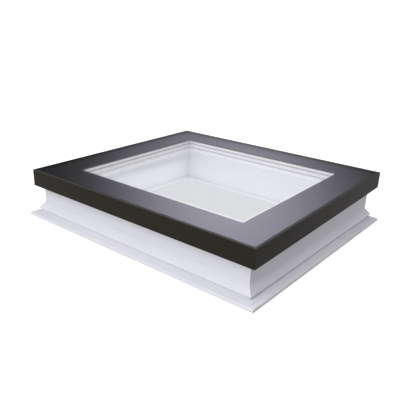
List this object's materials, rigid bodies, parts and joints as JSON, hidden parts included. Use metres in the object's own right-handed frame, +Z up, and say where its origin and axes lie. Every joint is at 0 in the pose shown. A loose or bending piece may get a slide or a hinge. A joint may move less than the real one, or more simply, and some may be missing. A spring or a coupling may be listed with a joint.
{
  "type": "roof skylight",
  "caption": "Flat-glass roof skylight: white PVC kerb with a splayed foot, and a black-bordered triple-glazed sash in dark metal cladding that a chain drive opens.",
  "frame": {"origin": "middle of the kerb's underside, on the roof surface", "axes": "+Z up; +X along the hinge axis, to the right seen from the low side; +Y towards the high, hinged side"},
  "size_m": [1.032, 0.932, 0.2055],
  "materials": {
    "pvc": "satin white PVC profile",
    "foam": "closed-cell foam",
    "cladding": "satin dark brown-black powder coat",
    "glass": "clear float glass",
    "border": "black ceramic print seen through the glass",
    "spacer": "grey warm-edge spacer",
    "epdm": "matt black rubber",
    "sealant": "pale grey silicone",
    "block": "dark hard rubber",
    "housing": "satin anodised",
    "cap": "black glass-filled nylon",
    "motor": "dark painted steel",
    "chain_steel": "oiled steel",
    "zinc": "bright zinc plate"
  },
  "bodies": {
    "kerb": {"kerb_frame": "pvc", "kerb_insulation": "foam", "kerb_seal": "epdm", "kerb_hinge_leaf_left": "zinc", "kerb_hinge_leaf_right": "zinc", "kerb_hinge_screws": "zinc", "hinge_pin_left": "zinc", "hinge_pin_right": "zinc", "actuator_housing": "housing", "actuator_cap_left": "cap", "actuator_cap_right": "cap", "actuator_bracket_left": "zinc", "actuator_bracket_right": "zinc", "actuator_screws": "zinc", "gear_motor": "motor", "drive_frame": "chain_steel", "push_chain": "chain_steel", "cable_gland": "cap"},
    "sprocket": {"chain_sprocket": "chain_steel"},
    "sash": {"sash_frame": "pvc", "sash_insulation": "foam", "outer_pane": "glass", "printed_border": "border", "outer_spacer": "spacer", "middle_pane": "glass", "inner_spacer": "spacer", "inner_pane": "glass", "edge_sealant": "sealant", "glass_bond": "sealant", "pane_gasket": "sealant", "setting_blocks": "block", "seam_gasket": "epdm", "cladding_front": "cladding", "cladding_back": "cladding", "cladding_left": "cladding", "cladding_right": "cladding", "cladding_corner_keys": "zinc", "cladding_screws": "zinc", "sash_hinge_leaf_left": "zinc", "sash_hinge_leaf_right": "zinc", "sash_hinge_screws": "zinc", "chain_bracket": "zinc", "chain_bracket_pin": "zinc", "chain_bracket_screws": "zinc"}
  },
  "joints": [
    {"name": "sash_hinge", "type": "hinge", "parent": "kerb", "child": "sash", "pos_m": [0, 0.43606, 0.15318], "axis": [-1, 0, 0], "range_deg": [0, 18], "deforming": ["push_chain"]},
    {"name": "sprocket_spin", "type": "hinge", "parent": "kerb", "child": "sprocket", "pos_m": [0.012, -0.3241, 0.07627], "axis": [0, 1, 0], "range_deg": [0, 1138]}
  ],
  "couplings": [
    {"joint": "sprocket_spin", "follows": "sash_hinge", "ratio": 63.14}
  ]
}
